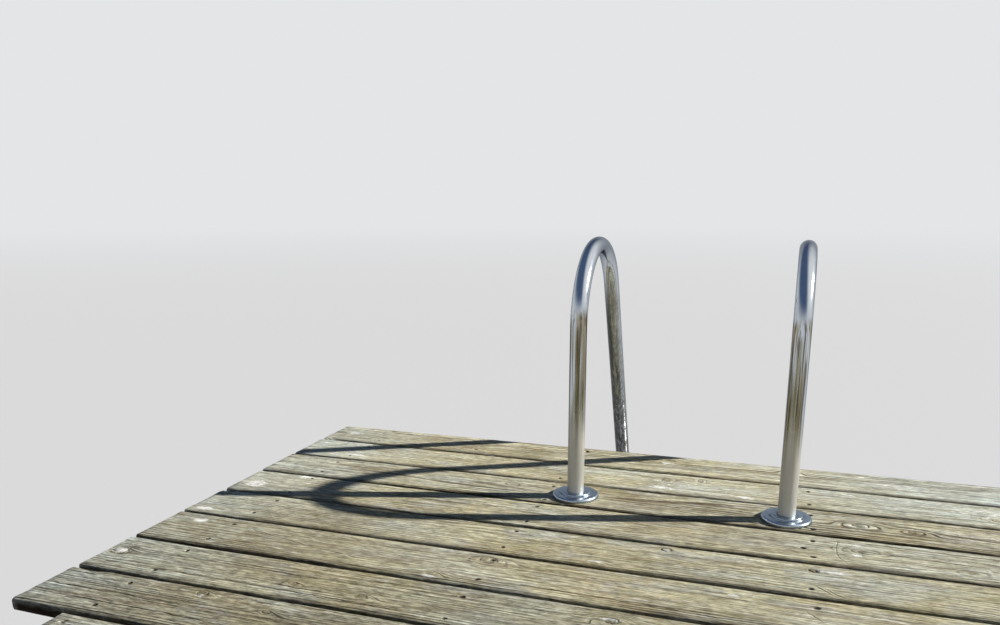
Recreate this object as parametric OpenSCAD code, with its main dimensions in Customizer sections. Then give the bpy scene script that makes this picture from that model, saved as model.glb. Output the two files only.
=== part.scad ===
/* [Deck] */
// Width of one deck board
board_w = 145; // [95:5:175]
// Thickness of the deck boards
board_t = 28; // [22:1:45]
// Gap between neighbouring boards
board_gap = 12; // [6:1:16]
// Radius on the long edges of the boards
board_edge_r = 4; // [1:0.5:8]
// Number of long boards that form the head of the jetty
head_boards = 8; // [6:1:12]
// Length of the head boards, across the jetty
head_board_len = 2200; // [2060:10:2600]
// Number of boards in the deck of one walkway bay
bay_boards = 13; // [10:1:16]
// Height of the deck top above the feet of the piles
deck_top = 1750; // [1650:10:2400]

/* [Joists] */
// Distance between neighbouring lines of joists
joist_spacing = 620; // [540:10:640]
// Width of a joist
joist_w = 80; // [45:5:100]
// Depth of a joist
joist_h = 160; // [120:5:220]
// Distance from the head edge of the deck back to the joist ends
joist_inset = 25; // [0:5:60]
// Gap between two joists that meet end to end over the middle bent
joist_butt_gap = 2; // [1:1:6]
// Thickness of the blocking between the joists
blocking_w = 60; // [40:5:100]
// Depth of the blocking between the joists
blocking_h = 150; // [90:5:160]

/* [Bents] */
// Number of bays between the bents
bays = 4; // [2:1:6]
// Distance from the head edge of the deck to the first bent
head_overhang = 470; // [350:10:700]
// Distance from the last bent to the shore end of the deck
shore_overhang = 470; // [350:10:700]
// Distance between the two piles of a bent, centre to centre
pile_spacing = 1400; // [1100:10:1500]
// Diameter of a pile at its top
pile_top_d = 200; // [180:5:240]
// Diameter of a pile at its foot
pile_foot_d = 185; // [150:5:220]
// Depth of the seat that is cut into each side of a pile
pile_notch = 30; // [15:1:45]
// Width of one cap beam
cap_w = 80; // [60:5:100]
// Depth of a cap beam
cap_h = 180; // [140:5:240]
// Distance by which the cap beams reach past the outer joists
cap_reach = 30; // [0:5:80]
// Size of the bevel on the ends of the cap beams
cap_bevel = 25; // [5:1:40]

/* [Rails of the bathing ladder] */
// Diameter of the rail tube
tube_d = 40; // [38:0.5:50]
// Distance between the two rails, centre to centre
rail_spacing = 493; // [400:1:560]
// Height of the upright leg above the deck, up to the bend
post_h = 409; // [320:1:600]
// Radius of the bend, to the middle of the tube
bend_r = 185; // [130:1:220]
// Angle between the sloping leg and the vertical
rail_tilt = 23.2; // [12:0.1:30]
// Distance from the head edge out to the sloping leg, at deck height
rail_standoff = 166; // [60:1:220]
// Clearance round the tube in its flanges, treads and feet
tube_clear = 0.3; // [0.2:0.1:0.6]

/* [Deck flanges] */
// Diameter of the flange plate
flange_d = 112; // [100:1:150]
// Thickness of the flange plate
flange_t = 9; // [5:0.5:12]
// Radius on the top edge of the flange plate
flange_edge_r = 5; // [2:0.5:5]
// Diameter of the collar that rises round the tube
collar_d = 73; // [66:1:84]
// Height of the collar above the flange plate
collar_h = 4.7; // [2:0.1:12]
// Radius of the groove turned between the collar and the plate
groove_r = 1.5; // [0.5:0.1:2]

/* [Treads of the bathing ladder] */
// Number of treads
treads = 6; // [3:1:6]
// Height from the deck top down to the top of the first tread
first_drop = 200; // [120:5:260]
// Height from one tread to the next
tread_rise = 250; // [200:5:260]
// Depth of a tread, front to back
tread_d = 85; // [70:1:110]
// Height of the turned-down edges of a tread
tread_h = 30; // [20:1:40]
// Thickness of the tread sheet
tread_t = 2.5; // [2:0.5:4]
// Outer radius of the folds in the tread sheet
tread_fold_r = 6; // [4.5:0.5:8]
// Width of the lips folded inwards under a tread
tread_lip = 14; // [11:1:25]
// Distance by which a tread wraps past the inner side of a rail
tread_wrap = 12; // [4:1:18]

/* [Feet of the bathing ladder] */
// Diameter of the foot where it stands
foot_d = 92; // [80:1:120]
// Height of the upright edge of the foot
foot_lip = 8; // [4:1:14]
// Wall of rubber round the tube
foot_wall = 7; // [4:0.5:10]
// Height of the end of the tube above the ground, at its middle
tube_end_z = 34; // [32:1:50]
// Length of the sleeve along the tube
sleeve_len = 62; // [40:1:90]
// Size of the bevel at the top of the sleeve
sleeve_bevel = 3; // [1:0.5:4]

/* [Hidden] */
$fn = 96;
// Length by which a cutter passes the face that it cuts
past = 1;
// Hair seam where the sloping leg meets the bend, so that their end faces never cross
leg_seam = 0.01;

// Heights above the feet of the piles
joist_top = deck_top - board_t;
cap_top = joist_top - joist_h;
cap_underside = cap_top - cap_h;

// Places across the jetty
joist_x = [for (line = [-1.5:1:1.5]) line * joist_spacing];
joist_gaps = len(joist_x) - 1;
walk_half = 1.5 * joist_spacing + joist_w / 2;
cap_half = walk_half + cap_reach;
cap_inner = pile_top_d / 2 - pile_notch;

// The rail turns over the bend and slopes down to its foot
slope = tan(rail_tilt);
bend_turn = 180 - rail_tilt;
bend_out = bend_r * (1 + cos(rail_tilt));
bend_end_z = deck_top + post_h + bend_r * sin(rail_tilt);
leg_len = (bend_end_z - tube_end_z) / cos(rail_tilt);
post_to_deck_leg = bend_out + (bend_end_z - deck_top) * slope;
foot_out = rail_standoff + (deck_top - tube_end_z) * slope;

// Places along the jetty, with the whole model centred on y = 0
board_pitch = board_w + board_gap;
boards = head_boards + bays * bay_boards;
deck_len = boards * board_pitch - board_gap;
total_len = deck_len + foot_out + foot_d / 2;
head_y = total_len / 2 - foot_out - foot_d / 2;
shore_y = head_y - deck_len;
bay_len = (deck_len - head_overhang - shore_overhang) / bays;
middle_bent = 1 + floor(bays / 2);
post_y = head_y + rail_standoff - post_to_deck_leg;
foot_y = head_y + foot_out;

function bent_y(bent) = head_y - head_overhang - (bent - 1) * bay_len;
function rail_y(z) = head_y + rail_standoff + (deck_top - z) * slope;
function side_x(side, half) = side == "left" ? -half : half;

SIDES = ["left", "right"];
ENDS = ["head", "shore"];

// Rectangle with round corners, centred across and standing on y = 0
module rounded(w, h, r) {
    translate([-w / 2 + r, 0])
        square([w - 2 * r, h]);
    translate([-w / 2, r])
        square([w, h - 2 * r]);
    for (x = [-w / 2 + r, w / 2 - r], y = [r, h - r])
        translate([x, y])
            circle(r);
}

// Round pile, thicker at its top, with a seat on each side for a cap beam
module pile(bent, side) {
    seat = pile_top_d / 2 - cap_inner + past;
    color("#8f8674")
        translate([side_x(side, pile_spacing / 2), bent_y(bent), 0])
            difference() {
                cylinder(h = cap_top, d1 = pile_foot_d, d2 = pile_top_d);
                for (way = [0, 180])
                    rotate([0, 0, way])
                        translate([-pile_top_d / 2, cap_inner, cap_underside])
                            cube([pile_top_d, seat, cap_h + past]);
            }
}

// Side view of a cap beam, with its lower corners bevelled
module cap_outline() {
    polygon([
        [-cap_half, cap_h],
        [-cap_half, cap_bevel],
        [cap_bevel - cap_half, 0],
        [cap_half - cap_bevel, 0],
        [cap_half, cap_bevel],
        [cap_half, cap_h]
    ]);
}

// Two beams that clasp the piles of one bent
module cap_beams(bent) {
    color("#9c9384")
        for (near = [cap_inner, -cap_inner - cap_w])
            translate([0, bent_y(bent) + near + cap_w, cap_underside])
                rotate([90, 0, 0])
                    linear_extrude(cap_w)
                        cap_outline();
}

// One length of a joist line, from the middle bent to an end of the jetty
module joist(line, end) {
    middle_y = bent_y(middle_bent);
    low = end == "head" ? middle_y + joist_butt_gap / 2 : shore_y;
    high = end == "head" ? head_y - joist_inset : middle_y - joist_butt_gap / 2;
    color("#9c9384")
        translate([joist_x[line - 1] - joist_w / 2, low, cap_top])
            cube([joist_w, high - low, joist_h]);
}

// Three short timbers between the joists, over one bent
module blocking(bent) {
    color("#a39a8b")
        for (gap = [1:joist_gaps])
            translate([joist_x[gap - 1] + joist_w / 2, bent_y(bent) - blocking_w / 2, cap_top])
                cube([joist_spacing - joist_w, blocking_w, blocking_h]);
}

// Run of boards across the jetty, counted from the head edge
module board_run(first, count, length) {
    color("#b0a899")
        for (board = [first:first + count - 1])
            translate([-length / 2, head_y - board_w / 2 - board * board_pitch, joist_top])
                rotate([90, 0, 90])
                    linear_extrude(length)
                        rounded(board_w, board_t, board_edge_r);
}

module head_deck() {
    board_run(0, head_boards, head_board_len);
}

module bay_deck(bay) {
    board_run(head_boards + (bay - 1) * bay_boards, bay_boards, 2 * walk_half);
}

// Moves a shape made along +z to the sloping leg, starting at its lower end
module on_leg(side) {
    translate([side_x(side, rail_spacing / 2), foot_y, tube_end_z])
        rotate([rail_tilt, 0, 0])
            children();
}

// One bent tube: upright leg, bend over the top and sloping leg
module handrail(side) {
    color("#c8ccd0")
        translate([side_x(side, rail_spacing / 2), post_y + bend_r, deck_top + post_h])
            rotate([90, 0, -90]) {
                rotate_extrude(angle = bend_turn)
                    translate([bend_r, 0])
                        circle(d = tube_d);
                translate([bend_r, 0, 0])
                    rotate([90, 0, 0])
                        cylinder(h = post_h, d = tube_d);
                rotate([0, 0, bend_turn])
                    translate([bend_r, leg_seam, 0])
                        rotate([-90, 0, 0])
                            cylinder(h = leg_len - leg_seam, d = tube_d);
            }
}

// Half section of a deck flange, with its bore at the left
module flange_section() {
    bore_r = tube_d / 2 + tube_clear;
    rim_r = flange_d / 2;
    collar_r = collar_d / 2;
    top_z = flange_t + collar_h;
    collar_edge_r = collar_h / 2;
    difference() {
        union() {
            translate([bore_r, 0])
                square([rim_r - flange_edge_r - bore_r, flange_t]);
            translate([bore_r, 0])
                square([rim_r - bore_r, flange_t - flange_edge_r]);
            translate([rim_r - flange_edge_r, flange_t - flange_edge_r])
                circle(flange_edge_r);
            translate([bore_r, 0])
                square([collar_r - collar_edge_r - bore_r, top_z]);
            translate([bore_r, 0])
                square([collar_r - bore_r, top_z - collar_edge_r]);
            translate([collar_r - collar_edge_r, top_z - collar_edge_r])
                circle(collar_edge_r);
        }
        translate([collar_r + 2 * groove_r, flange_t])
            circle(groove_r);
        translate([0, -2 * flange_t])
            square([rim_r + past, 2 * flange_t]);
    }
}

// Round flange that holds the foot of an upright leg on the deck
module flange(side) {
    color("#c0c4c8")
        translate([side_x(side, rail_spacing / 2), post_y, deck_top])
            rotate_extrude()
                flange_section();
}

// Section of a tread, open underneath between its two lips
module tread_section() {
    inner_r = tread_fold_r - tread_t;
    difference() {
        translate([0, -tread_h])
            rounded(tread_d, tread_h, tread_fold_r);
        translate([0, tread_t - tread_h])
            rounded(tread_d - 2 * tread_t, tread_h - 2 * tread_t, inner_r);
        translate([tread_lip - tread_d / 2, -tread_h - past])
            square([tread_d - 2 * tread_lip, tread_t + 2 * past]);
    }
}

// Folded sheet between the rails, its ends cut to the round of the tubes
module tread(step) {
    top_z = deck_top - first_drop - (step - 1) * tread_rise;
    length = rail_spacing - tube_d + 2 * tread_wrap;
    color("#b8bcc0")
        difference() {
            translate([-length / 2, rail_y(top_z - tread_h / 2), top_z])
                rotate([90, 0, 90])
                    linear_extrude(length)
                        tread_section();
            for (side = SIDES)
                on_leg(side)
                    cylinder(h = leg_len, d = tube_d + 2 * tube_clear);
        }
}

// Half section of the sleeve, with a round lower end
module sleeve_section() {
    sleeve_r = tube_d / 2 + foot_wall;
    intersection() {
        circle(sleeve_r);
        translate([0, -sleeve_r])
            square(sleeve_r);
    }
    polygon([
        [0, 0],
        [sleeve_r, 0],
        [sleeve_r, sleeve_len - sleeve_bevel],
        [sleeve_r - sleeve_bevel, sleeve_len],
        [0, sleeve_len]
    ]);
}

// Rubber foot that takes the lower end of a rail in a slanted socket
module foot(side) {
    skirt_r = tube_d / 2 + foot_wall / 2;
    skirt_z = tube_end_z - foot_wall;
    color("#3a3a3a")
        difference() {
            union() {
                translate([side_x(side, rail_spacing / 2), foot_y, 0])
                    rotate_extrude()
                        polygon([
                            [0, 0],
                            [foot_d / 2, 0],
                            [foot_d / 2, foot_lip],
                            [skirt_r, skirt_z],
                            [0, skirt_z]
                        ]);
                on_leg(side)
                    rotate_extrude()
                        sleeve_section();
            }
            on_leg(side)
                cylinder(h = sleeve_len + past, d = tube_d + 2 * tube_clear);
        }
}

for (bent = [1:bays + 1], side = SIDES)
    pile(bent, side);
for (bent = [1:bays + 1])
    cap_beams(bent);
for (line = [1:len(joist_x)], end = ENDS)
    joist(line, end);
for (bent = [1:bays + 1])
    blocking(bent);
head_deck();  // deck_boards_head
for (bay = [1:bays])
    bay_deck(bay);
for (side = SIDES)
    handrail(side);
for (side = SIDES)
    flange(side);
for (step = [1:treads])
    tread(step);
for (side = SIDES)
    foot(side);
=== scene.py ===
import math

import bpy
import numpy as np
from mathutils import Matrix, Vector


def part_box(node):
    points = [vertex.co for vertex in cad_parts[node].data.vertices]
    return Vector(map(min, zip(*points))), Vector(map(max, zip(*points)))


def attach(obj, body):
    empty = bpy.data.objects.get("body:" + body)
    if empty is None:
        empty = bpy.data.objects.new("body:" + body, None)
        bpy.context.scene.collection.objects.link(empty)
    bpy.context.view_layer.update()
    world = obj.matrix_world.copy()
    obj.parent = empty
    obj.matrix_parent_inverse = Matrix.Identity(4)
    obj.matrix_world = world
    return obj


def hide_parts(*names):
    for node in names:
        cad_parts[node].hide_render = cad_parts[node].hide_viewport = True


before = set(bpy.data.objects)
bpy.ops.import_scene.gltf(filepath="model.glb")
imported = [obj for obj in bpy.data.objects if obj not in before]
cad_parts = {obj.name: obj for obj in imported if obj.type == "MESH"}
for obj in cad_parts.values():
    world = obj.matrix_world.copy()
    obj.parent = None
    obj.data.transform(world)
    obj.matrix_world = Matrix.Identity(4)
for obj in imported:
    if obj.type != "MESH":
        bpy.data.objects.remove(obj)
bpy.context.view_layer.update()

# Sizes in metres, the same as the solids'
MM = 0.001
BOARD_W = 0.145
BOARD_GAP = 0.012
BOARD_PITCH = BOARD_W + BOARD_GAP
SEAT_DEPTH = 0.03
CAP_BEVEL = 0.025
TUBE_R = 0.020
BEND_R = 0.185
RAIL_TILT = math.radians(23.2)
POST_H = 0.409
BORE_CLEAR = 0.0003
PLATE_T = 0.009
PLATE_EDGE_R = 0.005
COLLAR_R = 0.0365
COLLAR_EDGE_R = 0.00235
GROOVE_R = 0.0015


def box_centre(node):
    low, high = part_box(node)
    return (low + high) / 2


def box_size(node):
    low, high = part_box(node)
    return [high[axis] - low[axis] for axis in range(3)]


def board_count(node):
    return round((box_size(node)[1] + BOARD_GAP) / BOARD_PITCH)


def count_nodes(start):
    return sum(name.startswith(start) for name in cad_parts)


# Places and counts that the frame gives
HEAD_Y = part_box("deck_boards_head")[1].y
DECK_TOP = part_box("deck_boards_head")[1].z
HEAD_LEN, _, BOARD_T = box_size("deck_boards_head")
RAIL_BACK_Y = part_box("handrail_left")[0].y
BENTS = count_nodes("cap_beams_")
BAYS = count_nodes("deck_boards_bay_")
TREADS = count_nodes("tread_")
LINES = count_nodes("joist_") // 2
JOIST_X = [sum(corner.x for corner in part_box(f"joist_{line + 1}_head")) / 2 for line in range(LINES)]
SIDES = {"left": -1, "right": 1}

# Camera, as solved from the board edges and the two rails
EYE_ABOVE_DECK = 0.723
EYE_X = 0.230
EYE_BEFORE_HEAD = 2.295
EYE_PITCH = math.radians(14.642)
EYE_YAW = math.radians(-18.490)
EYE_ROLL = math.radians(0.058)
SENSOR = 36.0
FRAME_WIDTH_PX = 1000
FOCAL_PX = 845.0
AXIS_BELOW_MIDDLE_PX = 99.2
AXIS_RIGHT_OF_MIDDLE_PX = 14.0


def make_camera():
    camera = bpy.data.cameras.new("camera")
    camera.sensor_width = SENSOR
    camera.lens = SENSOR * FOCAL_PX / FRAME_WIDTH_PX
    camera.shift_x = -AXIS_RIGHT_OF_MIDDLE_PX / FRAME_WIDTH_PX
    camera.shift_y = AXIS_BELOW_MIDDLE_PX / FRAME_WIDTH_PX
    camera.clip_start = 0.02
    camera.clip_end = 500
    eye = bpy.data.objects.new("camera", camera)
    eye.location = (EYE_X, HEAD_Y - EYE_BEFORE_HEAD, DECK_TOP + EYE_ABOVE_DECK)
    eye.rotation_mode = "QUATERNION"
    turn = Matrix.Rotation(-EYE_YAW, 3, "Z")
    lean = Matrix.Rotation(math.pi / 2 - EYE_PITCH, 3, "X")
    roll = Matrix.Rotation(-EYE_ROLL, 3, "Z")
    eye.rotation_quaternion = (turn @ lean @ roll).to_quaternion()
    bpy.context.scene.collection.objects.link(eye)
    bpy.context.scene.camera = eye


class Nodes:
    """The shader nodes of one tree: each call adds a node and returns its output."""

    def __init__(self, tree):
        self.tree = tree

    def set(self, node, socket, value):
        if isinstance(value, bpy.types.NodeSocket):
            self.tree.links.new(value, node.inputs[socket])
        else:
            node.inputs[socket].default_value = value

    def add(self, kind, inputs, output=0, **settings):
        node = self.tree.nodes.new("ShaderNode" + kind)
        for name, value in settings.items():
            setattr(node, name, value)
        for socket, value in inputs.items():
            self.set(node, socket, value)
        return node.outputs[output]

    def place(self):
        return self.add("TexCoord", {}, "Object")

    def value(self, name):
        return self.add("Attribute", {}, "Fac", attribute_name=name)

    def vector(self, name):
        return self.add("Attribute", {}, "Vector", attribute_name=name)

    def split(self, vector):
        return self.add("SeparateXYZ", {0: vector}).node.outputs

    def join(self, x, y, z):
        return self.add("CombineXYZ", {0: x, 1: y, 2: z})

    def stretch(self, vector, scales):
        return self.add("VectorMath", {0: vector, 1: scales}, operation="MULTIPLY")

    def shift(self, vector, other):
        return self.add("VectorMath", {0: vector, 1: other}, operation="ADD")

    def length(self, vector):
        return self.add("VectorMath", {0: vector}, "Value", operation="LENGTH")

    def math(self, operation, a, b=0.0, c=0.0, clamp=False):
        return self.add("Math", {0: a, 1: b, 2: c}, operation=operation, use_clamp=clamp)

    def plus(self, a, b):
        return self.math("ADD", a, b)

    def minus(self, a, b):
        return self.math("SUBTRACT", a, b)

    def times(self, a, b):
        return self.math("MULTIPLY", a, b)

    def most(self, a, b):
        return self.math("MAXIMUM", a, b)

    def scaled(self, value, factor, rest):
        """The value times the factor, plus the rest."""
        return self.math("MULTIPLY_ADD", value, factor, rest)

    def noise(self, vector, scales, detail=2, rough=0.5):
        """Noise with a scale for each axis. The last scale given holds for the axes that are left."""
        stretched = self.stretch(vector, (*scales, scales[-1], scales[-1])[:3])
        inputs = {"Vector": stretched, "Scale": 1.0, "Detail": detail, "Roughness": rough}
        return self.add("TexNoise", inputs, "Fac")

    def range(self, value, low, high, to_low=0.0, to_high=1.0, kind="SMOOTHSTEP"):
        inputs = {"Value": value, "From Min": low, "From Max": high, "To Min": to_low, "To Max": to_high}
        return self.add("MapRange", inputs, interpolation_type=kind)

    def mix(self, amount, a, b, blend="MIX"):
        node = self.tree.nodes.new("ShaderNodeMix")
        node.data_type = "RGBA"
        node.blend_type = blend
        self.set(node, "Factor", amount)
        colours = [socket for socket in node.inputs if socket.type == "RGBA"]
        for socket, colour in zip(colours, (a, b)):
            if isinstance(colour, bpy.types.NodeSocket):
                self.tree.links.new(colour, socket)
            else:
                socket.default_value = (*colour, 1.0)
        return next(socket for socket in node.outputs if socket.type == "RGBA")

    def coats(self, colour, *layers):
        """The colour under layers of (amount, colour), the lowest one first."""
        for amount, coat in layers:
            colour = self.mix(amount, colour, coat)
        return colour

    def seen(self):
        """1 in what the camera, a mirror or glass shows, and 0 in what only lights the scene."""
        ray = self.add("LightPath", {}).node.outputs
        return self.most(self.most(ray["Is Camera Ray"], ray["Is Glossy Ray"]), ray["Is Transmission Ray"])


class Paint(Nodes):
    """One material under way, with its shader."""

    def __init__(self, name, **sockets):
        self.material = bpy.data.materials.new(name)
        self.material.use_nodes = True
        super().__init__(self.material.node_tree)
        self.shader = self.tree.nodes["Principled BSDF"]
        for socket, value in sockets.items():
            self.set(self.shader, socket.replace("_", " "), value)

    def finish(self, colour, rough, height, distance, strength):
        """Gives the shader its colour, roughness and relief, and returns the material."""
        bump = self.add("Bump", {"Height": height, "Distance": distance, "Strength": strength})
        for socket, value in (("Base Color", colour), ("Roughness", rough), ("Normal", bump)):
            self.set(self.shader, socket, value)
        return self.material


def shade(colour, *factors):
    """A colour times one factor, or times one for each channel."""
    return tuple(np.array(colour) * factors)


def growth_rings(paint, x, y, z, flow, ring_gap):
    """Dark late wood of rings round a pith: lines on the faces, arcs on the ends, loops round the knots."""
    _, pith_y, pith_z = paint.split(paint.vector("pith"))
    across = paint.minus(y, pith_y)
    depth = paint.scaled(x, paint.value("pith_slope"), paint.minus(z, pith_z))
    radius = paint.math("SQRT", paint.scaled(across, across, paint.times(depth, depth)))
    radius = paint.plus(radius, paint.value("warp"))
    pace = paint.noise(flow, (0.6, 22), 1)
    turn = paint.math("FRACT", paint.scaled(pace, 2.4, paint.math("DIVIDE", radius, ring_gap)))
    line = paint.times(paint.range(turn, 0.50, 0.80), paint.range(turn, 0.88, 1, 1, 0))
    broken = paint.range(paint.noise(flow, (8, 60), 3), 0.36, 0.54, 0.30, 1)
    region = paint.range(paint.noise(flow, (1.5, 14)), 0.40, 0.56, 0.30, 1)
    return paint.times(line, paint.times(broken, paint.most(region, paint.value("halo"))))


def knot_marks(paint, flow):
    """The mottled core of a knot, its own rings, and the broken dark rim round it."""
    near = paint.value("knot_near")
    ragged = paint.noise(flow, (55, 75), 3, 0.6)
    flat = paint.stretch(paint.vector("knot_at"), (1, 1, 0))
    reach = paint.scaled(ragged, 1.1, paint.minus(paint.length(flat), 0.55))
    mottle = paint.range(paint.noise(flow, (120, 260)), 0.34, 0.60, 0.25, 1)
    core = paint.times(paint.times(paint.range(reach, 0.45, 1.10, 1, 0), near), mottle)
    ring = paint.range(paint.math("PINGPONG", reach, 0.17), 0.04, 0.13)
    rim = paint.range(paint.math("ABSOLUTE", paint.minus(reach, 1.05)), 0.02, 0.30, 1, 0)
    rim = paint.times(rim, paint.range(ragged, 0.46, 0.62))
    return core, ring, paint.times(rim, near)


CRACK_SWAY = 0.0042


def rifts(paint, flow):
    """Cracks that the mesh carries as distances from three lines, drawn thin, crooked and broken."""
    jitter = paint.range(paint.noise(flow, (45,), 3), 0, 1, -CRACK_SWAY, CRACK_SWAY, "LINEAR")
    opened = paint.range(paint.noise(flow, (24,)), 0.34, 0.56, 0.15, 1)
    lines = []
    for apart, shown in zip(paint.split(paint.vector("rift")), paint.split(paint.vector("rift_on"))):
        off = paint.math("ABSOLUTE", paint.plus(apart, jitter))
        lines.append(paint.times(paint.range(off, 0.0002, 0.0020, 1, 0), shown))
    return paint.times(paint.most(paint.most(lines[0], lines[1]), lines[2]), opened)


CHALK = (0.82, 0.83, 0.78)
COOL = (0.84, 0.80, 0.84)
# Dark for edges and cracks: dirt, and on the edges painted shade too
SOIL_AND_SHADE = (0.16, 0.12, 0.08)
STAIN = (0.60, 0.63, 0.68)


def wood_material(name, pale, warm, dark, algae, grey, ring_gap, soaked=None):
    """Weathered timber with its grain along the object's x axis, cut from rings round a pith."""
    paint = Paint(name, Specular_IOR_Level=0.04)
    x, y, z = paint.split(paint.place())
    drift = paint.vector("drift")
    lines = paint.value("lines")

    # Grain that flows round the knots and wanders a little along the timber
    swayed = paint.plus(y, paint.value("sway"))
    own = paint.shift(paint.join(x, swayed, z), drift)
    wander = paint.range(paint.noise(own, (1.7, 9), 3), 0, 1, -0.007, 0.007, "LINEAR")
    grain_y = paint.plus(swayed, wander)
    flow = paint.shift(paint.join(x, grain_y, z), drift)
    ring = paint.times(growth_rings(paint, x, grain_y, z, flow, ring_gap), lines)
    core, core_ring, rim = knot_marks(paint, flow)

    # Streaks and flecks along the grain
    fine = paint.noise(flow, (9, 420), 3, 0.62)
    streak = paint.noise(flow, (4, 150), 3, 0.62)
    band = paint.noise(flow, (3, 50), 3, 0.60)
    dash = paint.range(paint.noise(flow, (22, 300)), 0.60, 0.68)
    fleck = paint.noise(flow, (18, 190), 3, 0.64)
    speck = paint.noise(flow, (34, 250), 3, 0.64)
    pitted = paint.noise(flow, (60, 105), 3, 0.66)

    # Broad tints: blotches of a hand's size, smaller stains, and the greyed places, which on the head boards'
    # right side partly paint a sheen
    blotch = paint.noise(own, (3.2, 8), 4, 0.62)
    patch = paint.noise(own, (9, 22), 5, 0.68)
    haze = paint.noise(own, (2.1, 5.5), 4, 0.60)
    cool = paint.noise(own, (6.5, 17), 5, 0.66)
    greyed = paint.math("ADD", paint.range(haze, 0.48, 0.66, 0, 0.50), paint.value("grey"), clamp=True)
    colour = paint.coats(
        paint.mix(paint.range(blotch, 0.38, 0.62), warm, pale),
        (paint.range(patch, 0.50, 0.64, 0, 0.72), algae),
        (paint.range(cool, 0.50, 0.64, 0, 0.50), shade(grey, *COOL)),
        (paint.times(greyed, paint.range(patch, 0.34, 0.56, 1, 0.75)), grey),
        (paint.times(paint.value("stain"), paint.range(patch, 0.32, 0.60, 0.30, 1)), shade(warm, *STAIN)),
    )

    # Lines, knots, bleached flecks, edges darkened by dirt and painted shade, and cracks
    torn = paint.scaled(paint.noise(own, (62, 190), 4, 0.75), 1.8, -0.9)
    worn = paint.range(paint.plus(paint.value("bleach"), torn), 0.48, 0.60, 0, 0.85)
    crack = paint.most(rifts(paint, flow), paint.times(rim, 0.62))
    crack = paint.most(crack, paint.value("hole"))
    knot_tint = shade(warm, 0.42)
    colour = paint.coats(
        colour,
        (paint.times(paint.range(band, 0.32, 0.58, 0.26, 0), lines), dark),
        (paint.range(streak, 0.36, 0.56, 0.50, 0), dark),
        (paint.range(fine, 0.36, 0.62, 0.50, 0), dark),
        (paint.times(ring, 0.62), dark),
        (paint.times(dash, 0.45), dark),
        (paint.range(fleck, 0.30, 0.42, 0.42, 0), dark),
        (paint.times(paint.value("halo"), 0.22), knot_tint),
        (paint.times(core, 0.78), knot_tint),
        (paint.times(paint.times(core, core_ring), 0.6), dark),
        (paint.most(paint.range(fleck, 0.58, 0.70, 0, 0.44), worn), CHALK),
        # Edges: dirt, with painted shade down into the gaps and along the near edge
        (paint.value("edge"), shade(dark, *SOIL_AND_SHADE)),
        (paint.times(crack, 0.90), shade(dark, *SOIL_AND_SHADE)),
    )
    light = paint.scaled(paint.value("tone"), 0.16, 1)
    light = paint.plus(light, paint.range(speck, 0.25, 0.75, -0.36, 0.36))
    light = paint.plus(light, paint.range(pitted, 0.25, 0.75, -0.26, 0.26))
    colour = paint.mix(1, colour, paint.add("CombineColor", {0: light, 1: light, 2: light}), "MULTIPLY")
    rough = paint.range(fine, 0.2, 0.8, 0.68, 0.90)
    if soaked is not None:
        colour, rough = soaked(paint, x, blotch, colour, rough)

    # Relief: streaks and rings as bump, cracks as grooves
    height = paint.scaled(fine, 0.40, paint.times(streak, 1.2))
    for mark, rise in ((band, 1.2), (ring, -1.4), (dash, -0.3), (speck, 0.4), (crack, -2)):
        height = paint.scaled(mark, rise, height)
    return paint.finish(colour, rough, height, 0.0020, 0.8)


SOAKED_TO = 1.30


def soaked_end(paint, along, blotch, colour, rough):
    """Darkens a pile's lower end, which stays soaked, with a pale line of dried scum just above."""
    ragged = paint.scaled(blotch, 0.16, along)
    soaked = paint.range(ragged, SOAKED_TO + 0.02, SOAKED_TO + 0.14, 1, 0)
    from_line = paint.math("ABSOLUTE", paint.minus(ragged, SOAKED_TO + 0.15))
    colour = paint.coats(
        colour,
        (paint.range(from_line, 0, 0.045, 0.35, 0), (0.40, 0.39, 0.34)),
        (paint.times(soaked, 0.80), (0.055, 0.060, 0.034)),
        (paint.times(soaked, paint.range(blotch, 0.40, 0.62, 0, 0.45)), (0.085, 0.105, 0.040)),
    )
    return colour, paint.scaled(soaked, -0.22, rough)


def steel_material(name, tint, rough_low, rough_high, worn=None):
    """Stainless steel with fine polishing lines round the tube and dull smears."""
    # The low blue-grey edge tint darkens grazing edges: a painted dark reflection.
    paint = Paint(name, Metallic=1.0, Specular_Tint=(0.36, 0.38, 0.41, 1.0))
    place = paint.place()
    lines = paint.noise(place, (70, 70, 1500), 3, 0.6)
    smear = paint.noise(place, (16, 16, 5), 5, 0.62)
    film = paint.noise(place, (55, 55, 14), 4, 0.6)
    rough = paint.range(smear, 0.36, 0.70, rough_low, rough_high)
    rough = paint.plus(rough, paint.range(film, 0.45, 0.72, 0, 0.05))
    rough = paint.plus(rough, paint.range(lines, 0.2, 0.8, 0, 0.03))
    dull = shade(tint, 0.74)
    colour = paint.mix(paint.range(smear, 0.44, 0.74, 0, 0.35), tint, dull)
    colour = paint.mix(paint.range(film, 0.50, 0.74, 0, 0.35), colour, dull)
    # The worn step may paint reflections and shade into the colour, as it does on the rails.
    if worn is not None:
        colour, rough = worn(paint, place, smear, colour, rough)
    return paint.finish(colour, rough, lines, 0.00002, 0.35)


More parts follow.
